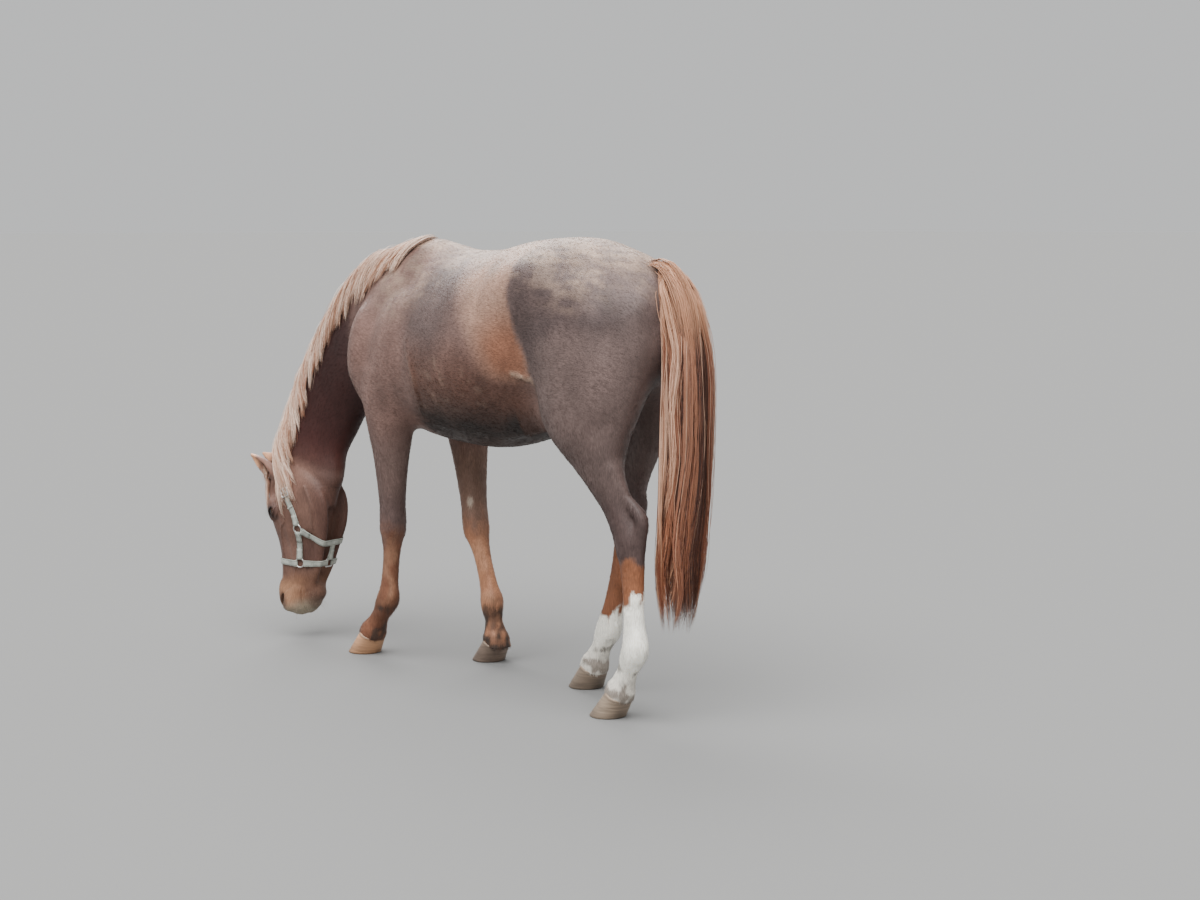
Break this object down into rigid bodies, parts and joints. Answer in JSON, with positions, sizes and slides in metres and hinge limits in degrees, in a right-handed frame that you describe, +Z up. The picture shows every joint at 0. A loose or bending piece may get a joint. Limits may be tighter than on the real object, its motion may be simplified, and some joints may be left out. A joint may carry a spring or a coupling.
{
  "type": "horse",
  "caption": "Life-size still model of a grazing chestnut horse, head down, in a webbing headcollar, with its long tail and mane.",
  "frame": {"origin": "on the floor, under the middle of the model's box: under the girth line between the four hooves", "axes": "+Z up, +Y towards the tail (the horse faces -Y), +X to the horse's left"},
  "size_m": [0.5706, 2.2598, 1.4941],
  "materials": {
    "coat": "short flat hair, soft sheen",
    "mane": "long flaxen hair",
    "tail": "long reddish hair with pale streaks",
    "hoof": "ridged horn, satin",
    "eye": "wet and dark",
    "webbing": "woven webbing",
    "fittings": "worn plating"
  },
  "bodies": {
    "root": {"trunk": "coat", "neck": "coat", "head": "coat", "ear_left": "coat", "ear_right": "coat", "foreleg_left": "coat", "foreleg_right": "coat", "hindleg_left": "coat", "hindleg_right": "coat", "hoof_fore_left": "hoof", "hoof_fore_right": "hoof", "hoof_hind_left": "hoof", "hoof_hind_right": "hoof", "eye_left": "eye", "eye_right": "eye", "mane": "mane", "forelock": "mane", "tail": "tail", "strap_crown": "webbing", "strap_cheek_left": "webbing", "strap_cheek_right": "webbing", "strap_throat": "webbing", "strap_chin_left": "webbing", "strap_chin_right": "webbing", "strap_chin_strap": "webbing", "strap_nose": "webbing", "ring_upper_left": "fittings", "ring_upper_right": "fittings", "ring_lower_left": "fittings", "ring_lower_right": "fittings", "ring_chin": "fittings", "buckle": "fittings"}
  },
  "joints": []
}
